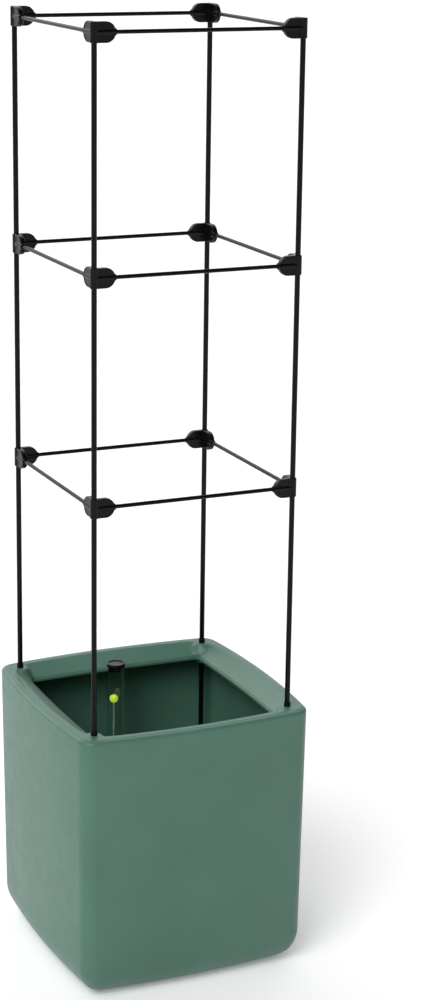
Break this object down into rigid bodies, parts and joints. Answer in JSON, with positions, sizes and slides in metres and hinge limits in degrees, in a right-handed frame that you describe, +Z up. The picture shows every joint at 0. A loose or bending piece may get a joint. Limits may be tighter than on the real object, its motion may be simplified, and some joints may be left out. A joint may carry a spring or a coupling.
{
  "type": "garden obelisk planter",
  "caption": "Square self-watering planter with crowned sides and a tall open tower trellis of black rods joined by corner connectors, with a clear water gauge.",
  "frame": {"origin": "centre of the planter's base, on the ground", "axes": "+Z up along the trellis, -Y the front, +X to the right"},
  "size_m": [0.3672, 0.3672, 1.3585],
  "materials": {
    "planter_green": "satin moulded resin, grey-green",
    "reservoir_black": "moulded polypropylene, black",
    "rod_black": "plastic-coated steel, semi-gloss black",
    "connector_black": "moulded nylon, satin black",
    "grommet_rubber": "black rubber",
    "gauge_clear": "clear acrylic tube",
    "cap_black": "moulded plastic, satin black",
    "ball_yellow": "bright yellow-green",
    "stem_pale": "pale grey-green rod",
    "float_foam": "closed-cell foam, off-white",
    "plug_rubber": "black rubber"
  },
  "bodies": {
    "planter": {"gauge_tube": "gauge_clear", "grommet_back_left": "grommet_rubber", "grommet_back_right": "grommet_rubber", "grommet_front_left": "grommet_rubber", "grommet_front_right": "grommet_rubber", "planter_shell": "planter_green", "platform_back": "reservoir_black", "platform_front": "reservoir_black", "wick_basket_back": "reservoir_black", "wick_basket_front": "reservoir_black"},
    "lower_tier": {"bar_low_back": "rod_black", "bar_low_front": "rod_black", "bar_low_left": "rod_black", "bar_low_right": "rod_black", "connector_low_back_left": "connector_black", "connector_low_back_right": "connector_black", "connector_low_front_left": "connector_black", "connector_low_front_right": "connector_black", "upright_lower_back_left": "rod_black", "upright_lower_back_right": "rod_black", "upright_lower_front_left": "rod_black", "upright_lower_front_right": "rod_black"},
    "middle_tier": {"bar_middle_back": "rod_black", "bar_middle_front": "rod_black", "bar_middle_left": "rod_black", "bar_middle_right": "rod_black", "connector_middle_back_left": "connector_black", "connector_middle_back_right": "connector_black", "connector_middle_front_left": "connector_black", "connector_middle_front_right": "connector_black", "upright_middle_back_left": "rod_black", "upright_middle_back_right": "rod_black", "upright_middle_front_left": "rod_black", "upright_middle_front_right": "rod_black"},
    "upper_tier": {"bar_top_back": "rod_black", "bar_top_front": "rod_black", "bar_top_left": "rod_black", "bar_top_right": "rod_black", "connector_top_back_left": "connector_black", "connector_top_back_right": "connector_black", "connector_top_front_left": "connector_black", "connector_top_front_right": "connector_black", "upright_upper_back_left": "rod_black", "upright_upper_back_right": "rod_black", "upright_upper_front_left": "rod_black", "upright_upper_front_right": "rod_black"},
    "gauge_cap": {"gauge_cap": "cap_black"},
    "gauge_float": {"gauge_ball": "ball_yellow", "gauge_stem": "stem_pale", "gauge_float": "float_foam"},
    "drain_plug": {"drain_plug": "plug_rubber"}
  },
  "joints": [
    {"name": "trellis_lift", "type": "slide", "parent": "planter", "child": "lower_tier", "axis": [0, 0, 1], "range_m": [0, 0.32]},
    {"name": "middle_tier_lift", "type": "slide", "parent": "lower_tier", "child": "middle_tier", "axis": [0, 0, 1], "range_m": [0, 0.05]},
    {"name": "upper_tier_lift", "type": "slide", "parent": "middle_tier", "child": "upper_tier", "axis": [0, 0, 1], "range_m": [0, 0.05]},
    {"name": "float_rise", "type": "slide", "parent": "planter", "child": "gauge_float", "axis": [0, 0, 1], "range_m": [0, 0.042]},
    {"name": "gauge_cap_lift", "type": "slide", "parent": "planter", "child": "gauge_cap", "axis": [0, 0, 1], "range_m": [0, 0.03]},
    {"name": "drain_plug_pull", "type": "slide", "parent": "planter", "child": "drain_plug", "axis": [0, 1, 0], "range_m": [0, 0.03]}
  ]
}
